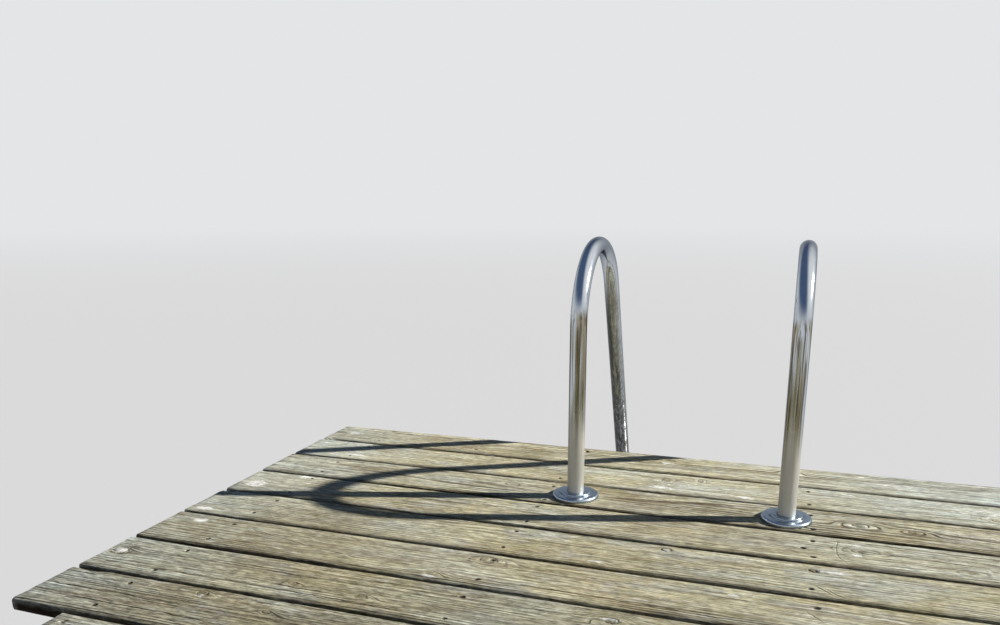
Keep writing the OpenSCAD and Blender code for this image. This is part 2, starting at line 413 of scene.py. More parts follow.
def rail_wear_and_reflections(paint, place, smear, colour, rough):
    """A dusty satin film low on the posts, its beige partly a painted reflection of the deck; brown and black
    runs above it, which are painted reflections; and dark scum on the legs, with painted shade on their side
    away from the sun.
    """
    _, y, z = paint.split(place)
    on_leg = paint.range(y, RAIL_BACK_Y + 1.8 * BEND_R, RAIL_BACK_Y + 2.2 * BEND_R)
    on_post = paint.minus(1, on_leg)
    # Satin band low on the posts: dust and a rougher finish, its beige partly a painted reflection of the
    # deck.
    satin_and_reflection = paint.range(paint.scaled(smear, 0.14, z), DECK_TOP + 0.20, DECK_TOP + 0.34, 1, 0)
    satin_and_reflection = paint.times(satin_and_reflection, on_post)
    # Band of the brown and black runs, which are painted reflections, not stains.
    reflection_band = paint.range(z, DECK_TOP + 0.435, DECK_TOP + 0.465, 1, 0)
    reflection_band = paint.times(paint.times(paint.range(z, DECK_TOP + 0.04, DECK_TOP + 0.26), reflection_band), on_post)
    reflected_runs = paint.noise(place, (100, 100, 2.6), 2, 0.6)
    lines = paint.noise(place, (190, 190, 3.4), 2, 0.6)
    streaks = paint.noise(place, (150, 150, 8), 4, 0.65)
    spots = paint.noise(place, (240, 240, 130), 3, 0.6)
    filmed = paint.times(paint.range(z, DECK_TOP - 0.10, DECK_TOP + 0.42, 0.92, 0.45), on_leg)
    scum_and_shade = paint.times(paint.range(streaks, 0.38, 0.58, 0.45, 1), filmed)
    scum_and_shade = paint.most(scum_and_shade, paint.times(paint.range(spots, 0.54, 0.64, 0, 0.7), filmed))
    # Darker on the legs' side away from the sun: painted shade.
    shaded = paint.times(paint.range(paint.value("shade_side"), -0.25, 0.45, 0, 0.9), on_leg)
    scum_and_shade = paint.most(scum_and_shade, paint.times(shaded, paint.range(streaks, 0.30, 0.50, 0.55, 1)))
    colour = paint.coats(
        colour,
        (paint.times(paint.range(reflected_runs, 0.42, 0.54, 0, 0.85), reflection_band), (0.30, 0.255, 0.155)),
        (paint.times(paint.range(lines, 0.53, 0.62, 0, 0.8), reflection_band), (0.06, 0.052, 0.036)),
        (scum_and_shade, (0.038, 0.033, 0.024)),
        (paint.times(satin_and_reflection, 0.62), (0.56, 0.53, 0.46)),
    )
    metal = paint.scaled(satin_and_reflection, -0.10, paint.scaled(scum_and_shade, -0.45, 1))
    paint.set(paint.shader, "Metallic", metal)
    return colour, paint.scaled(satin_and_reflection, 0.38, paint.scaled(scum_and_shade, 0.12, rough))


def rubber_material():
    """Matt black rubber, dusty and a little uneven."""
    paint = Paint("foot_rubber", Specular_IOR_Level=0.35)
    place = paint.place()
    cloud = paint.noise(place, (22,), 4, 0.6)
    colour = paint.mix(paint.range(cloud, 0.35, 0.70), (0.020, 0.020, 0.021), (0.062, 0.064, 0.056))
    rough = paint.range(cloud, 0.3, 0.7, 0.62, 0.84)
    return paint.finish(colour, rough, paint.noise(place, (900,)), 0.0002, 0.5)


def galvanised_material():
    """Dull zinc on bolts and washers, with rust in places."""
    paint = Paint("bolt_zinc", Metallic=0.85)
    place = paint.place()
    spangle = paint.noise(place, (160,), 3, 0.6)
    rust = paint.noise(place, (28,), 4, 0.65)
    colour = paint.mix(paint.range(spangle, 0.3, 0.7), (0.30, 0.31, 0.31), (0.44, 0.45, 0.46))
    colour = paint.mix(paint.range(rust, 0.52, 0.66, 0, 0.8), colour, (0.17, 0.075, 0.032))
    return paint.finish(colour, paint.range(spangle, 0.3, 0.7, 0.46, 0.66), rust, 0.0004, 0.4)


def screw_material():
    """Old screw heads, dark with rust and dirt."""
    paint = Paint("screw_dark", Metallic=0.5)
    rust = paint.noise(paint.place(), (300,), 3, 0.6)
    colour = paint.mix(paint.range(rust, 0.4, 0.65), (0.030, 0.026, 0.022), (0.085, 0.052, 0.032))
    return paint.finish(colour, paint.range(rust, 0.3, 0.7, 0.5, 0.8), rust, 0.0003, 0.5)


# Meshes
CREASE = 40


def mesh_object(name, points, faces, material, crease=None):
    """An object of points and faces: flat, or smooth but for edges sharper than the crease in degrees."""
    mesh = bpy.data.meshes.new(name)
    mesh.from_pydata([tuple(point) for point in points], [], faces)
    mesh.materials.append(material)
    mesh.polygons.foreach_set("use_smooth", [crease is not None] * len(mesh.polygons))
    mesh.update()
    if crease is not None:
        mesh.set_sharp_from_angle(angle=math.radians(crease))
    thing = bpy.data.objects.new(name, mesh)
    bpy.context.scene.collection.objects.link(thing)
    return thing


def add_fields(thing, values, vectors):
    """Numbers and vectors that the material reads, given for each point or once for all of them."""
    count = len(thing.data.vertices)
    for fields, kind, label, width in ((values, "FLOAT", "value", 1), (vectors, "FLOAT_VECTOR", "vector", 3)):
        for name, given in fields.items():
            layer = thing.data.attributes.new(name, kind, "POINT")
            rows = np.asarray(given, np.float32).reshape(-1, width)
            layer.data.foreach_set(label, np.broadcast_to(rows, (count, width)).ravel())


def settle(thing, slot, *nodes):
    """The piece rides on the jetty and stands for the CAD nodes, which it hides. The slot is not used."""
    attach(thing, "root")
    if nodes:
        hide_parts(*nodes)


def tube_faces(rings, corners):
    """Quads between rings of points that follow each other, with a flat cap on each end."""
    faces = []
    for low in range(0, (rings - 1) * corners, corners):
        for corner in range(corners):
            after = (corner + 1) % corners
            faces.append((low + corner, low + corners + corner, low + corners + after, low + after))
    last = range((rings - 1) * corners, rings * corners)
    return [*faces, tuple(range(corners)), tuple(reversed(last))]


def turned_over(faces):
    return [tuple(reversed(face)) for face in faces]


def ring_points(rings, corners, turn=0.0, way=1):
    """Points of rings (radius, rise) round an axis: two places across the axis and the rise."""
    angles = [way * corner / corners * 2 * math.pi + turn for corner in range(corners)]
    return [
        (radius * math.cos(angle), radius * math.sin(angle), rise)
        for radius, rise in rings for angle in angles
    ]


def join_shape(points, faces, shape, pattern):
    """Adds the points and faces of one more shape to a joined mesh."""
    first = len(points)
    points += shape
    faces += [tuple(first + index for index in face) for face in pattern]


def soft_noise(x, y, step_x, step_y, rng):
    """Smooth random values from -1 to 1 over places x and y, about one bump to each step."""
    gx = (x - x.min()) / step_x
    gy = (y - y.min()) / step_y
    table = rng.uniform(-1, 1, (int(gx.max()) + 3, int(gy.max()) + 3))
    ix, iy = gx.astype(int), gy.astype(int)
    fx, fy = gx - ix, gy - iy
    fx, fy = fx * fx * (3 - 2 * fx), fy * fy * (3 - 2 * fy)
    low = table[ix, iy] * (1 - fx) + table[ix + 1, iy] * fx
    high = table[ix, iy + 1] * (1 - fx) + table[ix + 1, iy + 1] * fx
    return low * (1 - fy) + high * fy


def spread(low, high, step, dense=()):
    """Places from low to high about a step apart, closer where dense asks for it: (middle, reach, step)."""
    places = list(np.linspace(low, high, max(2, round((high - low) / step) + 1)))
    for middle, reach, fine in dense:
        start, end = max(low, middle - reach), min(high, middle + reach)
        if end - start > fine:
            places = [place for place in places if not start < place < end or place in (low, high)]
            places += list(np.linspace(start, end, round((end - start) / fine) + 1))
    places = np.unique(np.round(places, 6))
    keep = np.concatenate([[True], np.diff(places) > 0.0004])
    return places[keep]


ARC_STEPS = 4


def beam_section(width, rows):
    """Corners round a section: shares of the half width, height and edge radius, and how level each is."""
    top = [(row / (width / 2), 0, -row / (width / 2), 0, 1) for row in rows]
    right = []
    for step in range(1, ARC_STEPS + 1):
        angle = step / ARC_STEPS * math.pi / 2
        right.append((1, 0, math.sin(angle) - 1, math.cos(angle) - 1, math.cos(angle)))
    right += [(1, -part, 0, 2 * part - 1, 0) for part in (0.25, 0.5, 0.75)]
    for step in range(3):
        angle = step / 2 * math.pi / 2
        right.append((1, -1, math.cos(angle) - 1, 1 - math.sin(angle), 0))
    left = [(-share, part, -edge_y, edge_z, level) for share, part, edge_y, edge_z, level in reversed(right)]
    return np.array([*top, *right, (0, -1, 0, 0, 0), *left], float).T


KNOT_STRETCH = 1.35


def knot_fields(x, y, knots, rng):
    """How knots (x, y, core, swirl) bend the grain, lift the face and lie to each point."""
    sway, warp, lift, near, halo = (np.zeros_like(x) for _ in range(5))
    at = np.zeros((*x.shape, 3))
    nearest = np.full_like(x, 1e9)
    for kx, ky, core, swirl in knots:
        u, v = (x - kx) / (KNOT_STRETCH * core), (y - ky) / core
        reach = np.sqrt(u ** 2 + v ** 2)
        fade = np.exp(-(reach * core / (1.5 * swirl)) ** 2)
        sway -= (y - ky) / np.maximum(reach, 1.0) ** 2 * fade
        far = ((x - kx) / (1.5 * swirl)) ** 2 + ((y - ky) / (0.62 * swirl)) ** 2
        warp += 0.62 * swirl * np.exp(-1.6 * far)
        lift += 0.0010 * np.exp(-2.5 * far) - 0.0008 * np.exp(-((reach - 1.08) / 0.16) ** 2)
        mine = reach < nearest
        nearest = np.minimum(nearest, reach)
        seed = rng.uniform(0, 50)
        for axis, values in enumerate((u, v, np.full_like(x, seed))):
            at[..., axis] = np.where(mine, values, at[..., axis])
        near = np.maximum(near, np.clip(2.2 - reach, 0, 1))
        halo = np.maximum(halo, np.exp(-1.3 * far))
    return sway, warp, lift, at, near, halo


def rift_fields(x, y, cracks):
    """Signed distances from up to three cracks (x0, y0, x1, y1, bow, depth), and how much each one shows."""
    apart = np.full((*x.shape, 3), 1.0)
    shown = np.zeros((*x.shape, 3))
    for channel, (x0, y0, x1, y1, bow, depth) in enumerate(cracks):
        length = math.hypot(x1 - x0, y1 - y0)
        ex, ey = (x1 - x0) / length, (y1 - y0) / length
        run = ((x - x0) * ex + (y - y0) * ey) / length
        apart[..., channel] = (y - y0) * ex - (x - x0) * ey - 4 * bow * run * (1 - run)
        shown[..., channel] = depth * np.clip(np.minimum(run, 1 - run) * length / 0.02, 0, 1)
    return apart, shown


HOLE_R = 0.0038
HOLE_DEPTH = 0.0026
# How far round a hole and a knot the mesh is finer
HOLE_REACH_X, HOLE_REACH_Y = 0.0075, 0.0065
KNOT_REACH = 2.4
# Dirt and painted shade on the edges: its reach on the top face, its share there and at an edge's top, and
# how deep it is full. The sides darken deeper into the gaps, and on the top face only the near edge darkens,
# as painted shade.
RIM_REACH = 0.020
RIM_DIRT_AND_SHADE = 0.42
DIRT_AND_SHADE_AT_TOP = 0.45
DIRT_AND_SHADE_FULL_AT = 0.32
IN_GAP, IN_VIEW = 0.97, 0.45
END_ROUND = 0.0029


def make_beam(name, size, material, rng, step, row_step, edge=0.004, relief=0.0, knots=(), cracks=(),
              spots=(), stains=(), greys_and_sheen=(), holes=(), chips=(), ring_plane=None, tone=None, cup=0.0,
              greyed=0.0, lines=(1.0, 1.0), side_dirt=(0.3, 0.3), far_edge=1.0):
    """A timber along x with its top face on z = 0. Places in the lists are (x, y, ...) on that face."""
    length, width, height = size
    hole_step = min(row_step, HOLE_R)
    dense = [(x, HOLE_REACH_X, hole_step) for x in sorted({hole[0] for hole in holes})]
    dense += [(x, KNOT_REACH * core, max(0.0028, 0.9 * row_step)) for x, y, core, swirl in knots]
    near_ends = [side * (length / 2 - near) for side in (-1, 1) for near in (0.001, 0.003)]
    xs = np.unique(np.concatenate([spread(-length / 2, length / 2, step, dense), near_ends]))
    inner = width / 2 - 0.5 * edge
    dense = [(y, HOLE_REACH_Y, hole_step) for y in sorted({hole[1] for hole in holes})]
    share, part, edge_y, edge_z, level = beam_section(width, spread(-inner, inner, row_step, dense))
    x = np.repeat(xs[:, None], len(share), 1)
    worn = 1 + 0.45 * soft_noise(xs, xs * 0, 0.09, 1, rng) + 0.25 * soft_noise(xs, xs * 0, 0.02, 1, rng)
    worn = (edge * worn)[:, None] * np.where(share > 0, far_edge, 1.0)
    y = share * (width / 2) + edge_y * worn
    z = part * height + edge_z * worn
    top = level[None, :] * np.ones_like(x)

    # Low relief of the weathered face
    sway, warp, lift, knot_at, knot_near, halo = knot_fields(x, y, knots, rng)
    lift += relief * soft_noise(x, y, 0.14, 0.010, rng) + 1.3 * relief * soft_noise(x, y, 0.45, 0.045, rng)
    lift -= cup * (1 - (y / (width / 2)) ** 2)
    bleach, stain, hole = (np.zeros_like(x) for _ in range(3))
    grey = greyed * np.exp(-((length / 2 - np.abs(x)) / 0.26) ** 2)
    for field, patches in ((bleach, spots), (stain, stains), (grey, greys_and_sheen)):
        for sx, sy, reach_x, reach_y, amount in patches:
            near = ((x - sx) / reach_x) ** 2 + ((y - sy) / reach_y) ** 2
            np.maximum(field, amount * np.exp(-near), out=field)
    for hx, hy in holes:
        near = np.hypot((x - hx) * rng.uniform(0.75, 1.15), (y - hy) * rng.uniform(0.85, 1.35))
        lift -= HOLE_DEPTH * np.clip((HOLE_R + 0.0008 - near) / 0.0014, 0, 1)
        hole = np.maximum(hole, rng.uniform(0.7, 1.0) * np.clip((HOLE_R + 0.0020 - near) / 0.0020, 0, 1))
    for px, py, reach_x, reach_y, deep in chips:
        near = ((x - px) / reach_x) ** 2 + ((y - py) / reach_y) ** 2
        lift -= deep * np.exp(-near ** 2)
    z = z + np.clip(lift, -0.8 * height, 0.002) * top

    # Ends sawn a little out of square and rounded by wear
    last = np.linspace(-1, 1, len(xs))[:, None]
    fray = 0.0012 * soft_noise(y + 0 * x, z, 0.03, 0.012, rng)
    for side in (-1, 1):
        close = np.clip(1 - (length / 2 - side * x) / END_ROUND, 0, 1)
        x = x - side * close * (0.0006 + np.abs(fray)) * (last * side > 0)
        z = z - close ** 2 * 0.0010 * top
    faces = tube_faces(len(xs), len(share))
    beam = mesh_object(name, np.stack([x, y, z], 2).reshape(-1, 3), faces, material, CREASE)

    # What the material reads at each point
    apart, shown = rift_fields(x, y, cracks)
    # Edge darkening: dirt plus painted shade, deepening down the sides into the gaps and along each board's
    # near edge
    dirt = np.where(y > 0, side_dirt[1], side_dirt[0])
    dirt = np.where(np.abs(x) > length / 2 - 0.004, np.minimum(dirt, IN_VIEW), dirt)
    gap_dirt_and_shade = np.where(level > 0, 1 - level, 1.0) * dirt
    gap_dirt_and_shade = gap_dirt_and_shade * (DIRT_AND_SHADE_AT_TOP + (1 - DIRT_AND_SHADE_AT_TOP) * np.clip(-part / DIRT_AND_SHADE_FULL_AT, 0, 1))
    rim = np.clip((-y - (width / 2 - RIM_REACH)) / RIM_REACH, 0, 1)
    if ring_plane is None:
        ring_plane = (rng.uniform(-0.8, 0.8) * width, -rng.uniform(0.02, 0.09), rng.uniform(-0.012, 0.012))
    pith_y, pith_z, pith_slope = ring_plane
    drift = rng.uniform(-20, 20, 3)
    add_fields(beam, {
        "sway": sway, "warp": warp, "halo": halo * top, "knot_near": knot_near * top,
        "bleach": bleach * top, "hole": hole * top, "stain": stain, "grey": grey,
        "edge": np.maximum(gap_dirt_and_shade, RIM_DIRT_AND_SHADE * rim * dirt), "pith_slope": pith_slope,
        "lines": lines[0] + (lines[1] - lines[0]) * (y / width + 0.5),
        "tone": rng.uniform(-1, 1) if tone is None else tone,
    }, {
        "knot_at": knot_at, "rift": apart, "rift_on": shown * top[..., None], "pith": (0, pith_y, pith_z),
        "drift": drift,
    })
    return beam


SCREW_ROW = 0.0465
SAME_SCREW = 0.03


def screw_places(rng, measured=()):
    """Two screws to each joist line, a little off their marks or where the photo shows them."""
    places = []
    for line_x in JOIST_X:
        for side in (-1, 1):
            places.append((line_x + rng.normal(0, 0.005), side * SCREW_ROW + rng.normal(0, 0.005)))
    for x, y in measured:
        near = min(range(len(places)), key=lambda index: math.dist(places[index], (x, y)))
        if math.dist(places[near], (x, y)) < SAME_SCREW:
            places[near] = (x, y)
        else:
            places.append((x, y))
    return places


# Marks of the head's boards that show in the photo, in millimetres: x across the jetty, then how far in from
# the board's far edge. A knot is (x, in, core, swirl), and a spot, stain or grey place is (x, in, reach
# along, reach across, amount). A crack runs from (x, in) to (x, in), bows and may say how deep it is. A chip
# is (x, in, reach along, reach across, depth).
HEAD_KNOTS = {
    1: [(-69, 37, 6, 26), (249, 41, 7, 30), (-640, 103, 5, 22), (760, 70, 6, 26)],
    2: [(-48, 47, 13, 42), (35, 29, 9, 30), (700, 96, 8, 34)],
    3: [(403, 67, 13, 42), (512, 72, 8, 32), (-420, 50, 5, 22), (905, 40, 8, 34)],
    4: [(402, 62, 8, 40), (595, 104, 6, 26), (-660, 42, 6, 26)],
    5: [(13, 20, 8, 22), (304, 28, 8, 26), (-112, 126, 5, 20), (800, 90, 9, 38)],
    6: [(-321, 29, 13, 38), (-406, 119, 8, 26), (640, 50, 8, 34)],
    7: [(-1067, 63, 16, 20), (-31, 38, 9, 42), (-640, 86, 7, 28), (-490, 92, 7, 26), (555, 90, 7, 30)],
    8: [(-774, 19, 8, 28), (145, 76, 8, 32), (-620, 44, 6, 26), (720, 40, 9, 36)],
}
# The broad faint spots on the right of the boards partly paint a sheen toward the sun.
HEAD_SPOTS_AND_SHEEN = {
    1: [(-1032, 66, 34, 16, 0.9), (423, 27, 22, 9, 0.7), (-69, 63, 36, 12, 0.6), (860, 60, 170, 60, 0.45),
        (523, 73, 150, 50, 0.4)],
    2: [(-924, 105, 38, 10, 0.9), (150, 119, 26, 11, 0.9), (390, 22, 18, 8, 0.7), (-60, 108, 44, 16, 0.7),
        (-40, 68, 90, 30, 0.5), (700, 60, 220, 60, 0.45)],
    3: [(-899, 69, 160, 40, 0.3), (640, 60, 240, 60, 0.35), (403, 92, 26, 7, 0.6)],
    4: [(-1045, 91, 36, 30, 0.9), (-948, 10, 24, 10, 0.9), (389, 82, 12, 9, 0.9), (391, 29, 14, 9, 0.7),
        (700, 80, 230, 60, 0.35)],
    5: [(-1057, 122, 24, 13, 1.0), (-772, 52, 26, 8, 0.6), (343, 27, 40, 9, 0.9), (13, 24, 12, 8, 0.9),
        (-110, 122, 24, 6, 0.8), (760, 80, 220, 50, 0.3)],
    6: [(-1016, 31, 22, 12, 1.0), (163, 30, 11, 7, 0.9), (-408, 133, 20, 8, 1.0), (556, 73, 200, 40, 0.3)],
    7: [(-1069, 61, 24, 13, 0.9), (-33, 34, 24, 6, 0.8), (-700, 19, 120, 20, 0.3)],
    8: [(-774, 30, 24, 9, 0.5), (-898, 44, 180, 50, 0.25), (-302, 6, 14, 7, 0.5)],
}
HEAD_STAINS = {
    1: [(-300, 103, 200, 40, 0.3)],
    2: [(-45, 46, 42, 20, 0.8), (251, 102, 120, 40, 0.45), (-420, 62, 200, 50, 0.4)],
    3: [(-60, 70, 240, 60, 0.65)],
    4: [(129, 58, 210, 70, 0.65), (-500, 57, 140, 40, 0.3)],
    5: [(58, 115, 200, 30, 0.4), (-600, 104, 110, 30, 0.45), (-800, 75, 260, 90, 0.6)],
    6: [(-478, 31, 60, 30, 0.7), (97, 92, 240, 40, 0.35), (-820, 80, 330, 150, 1.0)],
    7: [(-700, 90, 90, 16, 0.6), (-302, 88, 200, 30, 0.4)],
    8: [(-848, 15, 160, 24, 0.5), (-521, 74, 200, 40, 0.4)],
}
# The broad grey places on the right of boards 1 to 4 paint a sheen toward the sun; the others are weathered
# grey.
HEAD_GREYS_AND_SHEEN = {
    1: [(680, 72, 420, 150, 1.0)],
    2: [(640, 72, 420, 150, 0.80)],
    3: [(900, 72, 300, 150, 0.40)],
    4: [(640, 72, 300, 150, 0.50), (-1040, 80, 80, 60, 0.7)],
    5: [(-560, 80, 90, 60, 0.45), (-980, 50, 110, 60, 0.5)],
    6: [(-430, 60, 150, 60, 0.4)],
    7: [(-930, 90, 80, 50, 0.5)],
}
HEAD_CRACKS = {
    1: [(-249, 75, 61, 79, 3), (510, 50, 745, 50, 1, 0.9), (640, 92, 1060, 88, 2, 0.9)],
    2: [(-560, 64, -300, 60, 2), (301, 106, 620, 96, -2), (241, 42, 362, 38, 1)],
    3: [(-200, 42, 168, 45, 3, 0.8), (-195, 58, 172, 62, 4), (-185, 80, 150, 86, 3)],
    4: [(360, 5, 372, 140, -17, 0.3), (399, 61, 640, 70, 2), (-700, 61, -420, 58, 2)],
    5: [(300, 95, 342, 137, 2), (319, 101, 363, 138, -2), (-1087, 82, -1008, 84, 0)],
    6: [(-890, 35, -560, 105, -5, 0.6), (-240, 112, 150, 127, 4), (288, 52, 319, 88, 3)],
    7: [(-958, 49, -600, 54, 3), (-1088, 114, -402, 121, 4), (-734, 91, -561, 99, -4)],
    8: [(-1086, 69, -835, 71, 2), (-1090, 18, -1018, 18, 0), (-997, 102, -501, 111, 2)],
}
HEAD_CHIPS = {
    1: [(-1067, 143, 16, 9, 9)],
    5: [(-1083, 4, 14, 8, 5)],
    8: [(-1056, 2, 30, 6, 5)],
}
HEAD_SCREWS = {
    2: [(294, 26), (296, 119), (-318, 28), (-319, 120)],
    3: [(299, 34), (-318, 31)],
    4: [(302, 34), (283, 77), (303, 119), (-315, 24)],
    5: [(-315, 24), (-315, 114), (-930, 110)],
    6: [(308, 34), (-930, 28), (-932, 115), (-312, 115)],
    7: [(-312, 35), (-311, 121), (-933, 23), (-932, 120)],
    8: [(-935, 27), (-932, 118)],
}
# Places across the jetty round which a head board shows no screws, and how far round them
HEAD_BARE = {1: [300]}
BARE_REACH = 0.1
# Where each head board's pith lies: y from its middle, depth under its top and its dip along the board
HEAD_RINGS = {
    1: (0.11, -0.05, 0.004), 2: (-0.06, -0.06, 0.010), 3: (0.02, -0.055, -0.020), 4: (-0.004, -0.040, 0.034),
    5: (0.09, -0.05, 0.008), 6: (0.07, -0.06, -0.012), 7: (0.10, -0.05, 0.006), 8: (0.16, -0.03, 0.002),
}
# Board tones: the far boards' higher ones are partly a painted sheen.
HEAD_TONES_AND_SHEEN = {1: 2.2, 2: 1.2, 3: 0.6, 4: 0.5, 5: 0.1, 6: 0.4, 7: -0.9, 8: -1.5}
# How strongly each head board shows its growth lines, along its near edge and along its far one
HEAD_LINES = {
    1: (1.7, 1.6), 2: (0.8, 0.5), 3: (1.6, 1.5), 4: (0.9, 0.7), 5: (0.7, 0.3), 6: (1.4, 0.6), 7: (1.5, 0.5),
    8: (1.6, 0.6),
}


def from_far_edge(inward):
    """The y of a mark, from its board's middle."""
    return BOARD_W / 2 - inward * MM


def head_marks(number, shift_x):
    """One head board's marks in metres, from its own middle, as make_beam takes them."""
    def place(x, inward):
        return x * MM - shift_x, from_far_edge(inward)

    def patches(table):
        rows = table.get(number, [])
        return [(*place(x, inward), a * MM, b * MM, *rest) for x, inward, a, b, *rest in rows]

    return {
        "knots": patches(HEAD_KNOTS),
        "spots": patches(HEAD_SPOTS_AND_SHEEN),
        "stains": patches(HEAD_STAINS),
        "greys_and_sheen": patches(HEAD_GREYS_AND_SHEEN),
        "chips": [(x, y, a, b, deep * MM) for x, y, a, b, deep in patches(HEAD_CHIPS)],
        "cracks": [
            (*place(a, b), *place(c, d), bow * MM, *(deep or [1.0]))
            for a, b, c, d, bow, *deep in HEAD_CRACKS[number]
        ],
    }


def random_marks(rng):
    """Knots, cracks, bleached spots and a stain for a board that the photo doesn't show whole."""
    knots, cracks, spots = [], [], []
    for _ in range(rng.integers(1, 4)):
        core = rng.uniform(0.006, 0.013)
        knots.append((rng.uniform(-0.9, 0.9), rng.uniform(-0.05, 0.05), core, core * rng.uniform(2.8, 3.8)))
    for _ in range(rng.integers(1, 4)):
        x, y = rng.uniform(-0.8, 0.6), rng.uniform(-0.05, 0.05)
        end_x, end_y = x + rng.uniform(0.15, 0.4), y + rng.uniform(-0.006, 0.006)
        cracks.append((x, y, end_x, end_y, rng.normal(0, 0.003), rng.uniform(0.5, 1.0)))
    for _ in range(rng.integers(1, 4)):
        spots.append((rng.uniform(-1, 1), rng.uniform(-0.06, 0.06), 0.05, 0.015, rng.uniform(0.4, 0.9)))
    stains = [(rng.uniform(-0.9, 0.9), rng.uniform(-0.04, 0.04), 0.18, 0.04, rng.uniform(0.2, 0.6))]
    return {"knots": knots, "cracks": cracks, "spots": spots, "stains": stains}


def board_place(edge_y, number, saw, rng):
    """The middle of a board's top, from what is sawn off its two ends. Each board lies a little low."""
    drop = rng.uniform(0.0003, 0.0016)
    return (saw[0] - saw[1]) / 2, edge_y - BOARD_W / 2 - number * BOARD_PITCH, DECK_TOP - drop


def lay_board(name, node, length, place, holes, material, rng, **looks):
    """One board across the jetty, and where its screw heads lie."""
    x, y, z = place
    board = make_beam(
        name, (length, BOARD_W, BOARD_T - 0.002), material, rng, edge=0.0052, far_edge=0.5, greyed=0.7,
        holes=[(hole_x - x, hole_y) for hole_x, hole_y in holes], **looks,
    )
    board.location = place
    settle(board, "deck_wood", node)
    return [(hole_x, y + hole_y, z - HOLE_DEPTH) for hole_x, hole_y in holes]


def make_head_boards(material):
    """The long boards in view, one by one, each with its own marks."""
    screws = []
    for number in range(1, board_count("deck_boards_head") + 1):
        rng = np.random.default_rng(100 + number)
        saw = (rng.uniform(0.0003, 0.0030), rng.uniform(0.001, 0.007))
        place = board_place(HEAD_Y, number - 1, saw, rng)
        measured = [(x * MM, from_far_edge(inward)) for x, inward in HEAD_SCREWS.get(number, [])]
        holes = screw_places(rng, measured)
        for x in HEAD_BARE.get(number, []):
            holes = [hole for hole in holes if abs(hole[0] - x * MM) >= BARE_REACH]
        screws += lay_board(
            f"head_board_{number}", "deck_boards_head", HEAD_LEN - sum(saw), place, holes, material, rng,
            step=0.014, row_step=0.0019, relief=0.00034, cup=rng.uniform(0.0002, 0.0009),
            ring_plane=HEAD_RINGS[number], tone=HEAD_TONES_AND_SHEEN[number], lines=HEAD_LINES[number],
            side_dirt=(IN_GAP, IN_VIEW if number == 1 else IN_GAP), **head_marks(number, place[0]),
        )
    return screws


def make_walk_boards(bay, material):
    """The boards of one bay of the walkway."""
    node = f"deck_boards_bay_{bay}"
    length = box_size(node)[0]
    edge_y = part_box(node)[1].y
    screws = []
    for number in range(board_count(node)):
        rng = np.random.default_rng(1000 * bay + number)
        saw = rng.uniform(0.001, 0.006, 2)
        place = board_place(edge_y, number, saw, rng)
        holes = screw_places(rng)
        marks = random_marks(rng)
        screws += lay_board(
            f"walk_board_{bay}_{number + 1:02d}", node, length - sum(saw), place, holes, material, rng,
            step=0.07, row_step=0.009, relief=0.0004, cup=rng.uniform(0.0002, 0.001),
            lines=rng.uniform(0.4, 1.5, 2), side_dirt=(IN_GAP, IN_GAP), **marks,
        )
    return screws


SCREW_CORNERS = 12
SCREW_TURN = 137.5
SCREW_RINGS = [(0.0030, -0.0006), (0.0030, 0.0004), (0.00258, 0.0008), (0.0013, 0.0008), (0.0012, -0.0004)]


def make_screws(name, places, material):
    """Joined screw heads, each with a small socket."""
    points, faces = [], []
    pattern = tube_faces(len(SCREW_RINGS), SCREW_CORNERS)
    for x, y, z in places:
        around = ring_points(SCREW_RINGS, SCREW_CORNERS, -SCREW_TURN * len(faces), -1)
        join_shape(points, faces, [(x + u, y + v, z + rise) for u, v, rise in around], pattern)
    settle(mesh_object(name, points, faces, material), "tread_steel")


def bevel_ends(beam, length, height, bevel):
    """Cuts the lower corners off both ends of a beam that lies along x under z = 0."""
    for vertex in beam.data.vertices:
        over = abs(vertex.co.x) - (length / 2 - bevel)
        under = -vertex.co.z - (height - bevel)
        if over > 0 and under > 0 and over + under > bevel:
            vertex.co.z = -(height - bevel + bevel - over)


def frame_timber(name, node, size, place, material, seed, turn=0.0, bevel=0.0, **looks):
    """A timber of the frame, turned about z, with the middle of its top at a place."""
    timber = make_beam(name, size, material, np.random.default_rng(seed), **looks)
    if bevel > 0:
        bevel_ends(timber, size[0], size[2], bevel)
    timber.rotation_euler = (0, 0, turn)
    timber.location = place
    settle(timber, "frame_wood", node)


def make_joists(material):
    """Two lengths of timber on each line."""
    for line in range(1, LINES + 1):
        for end in ("head", "shore"):
            node = f"joist_{line}_{end}"
            width, length, height = box_size(node)
            middle = box_centre(node)
            frame_timber(
                f"joist_timber_{line}_{end}", node, (length, width, height),
                (middle.x, middle.y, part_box(node)[1].z), material, 5000 + 10 * line + len(end),
                turn=math.pi / 2, step=0.10, row_step=0.016, ring_plane=(0.01, -0.11, 0.002),
            )


def make_blocking(material):
    """The short timbers between the joists, over each bent."""
    for bent in range(1, BENTS + 1):
        node = f"blocking_{bent}"
        _, width, height = box_size(node)
        for gap in range(1, LINES):
            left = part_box(f"joist_{gap}_head")[1].x
            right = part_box(f"joist_{gap + 1}_head")[0].x
            frame_timber(
                f"blocking_timber_{bent}_{gap}", node, (right - left, width, height),
                ((left + right) / 2, box_centre(node).y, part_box(node)[1].z),
                material, 6000 + 10 * bent + gap - 1, step=0.06, row_step=0.015, edge=0.003,
            )


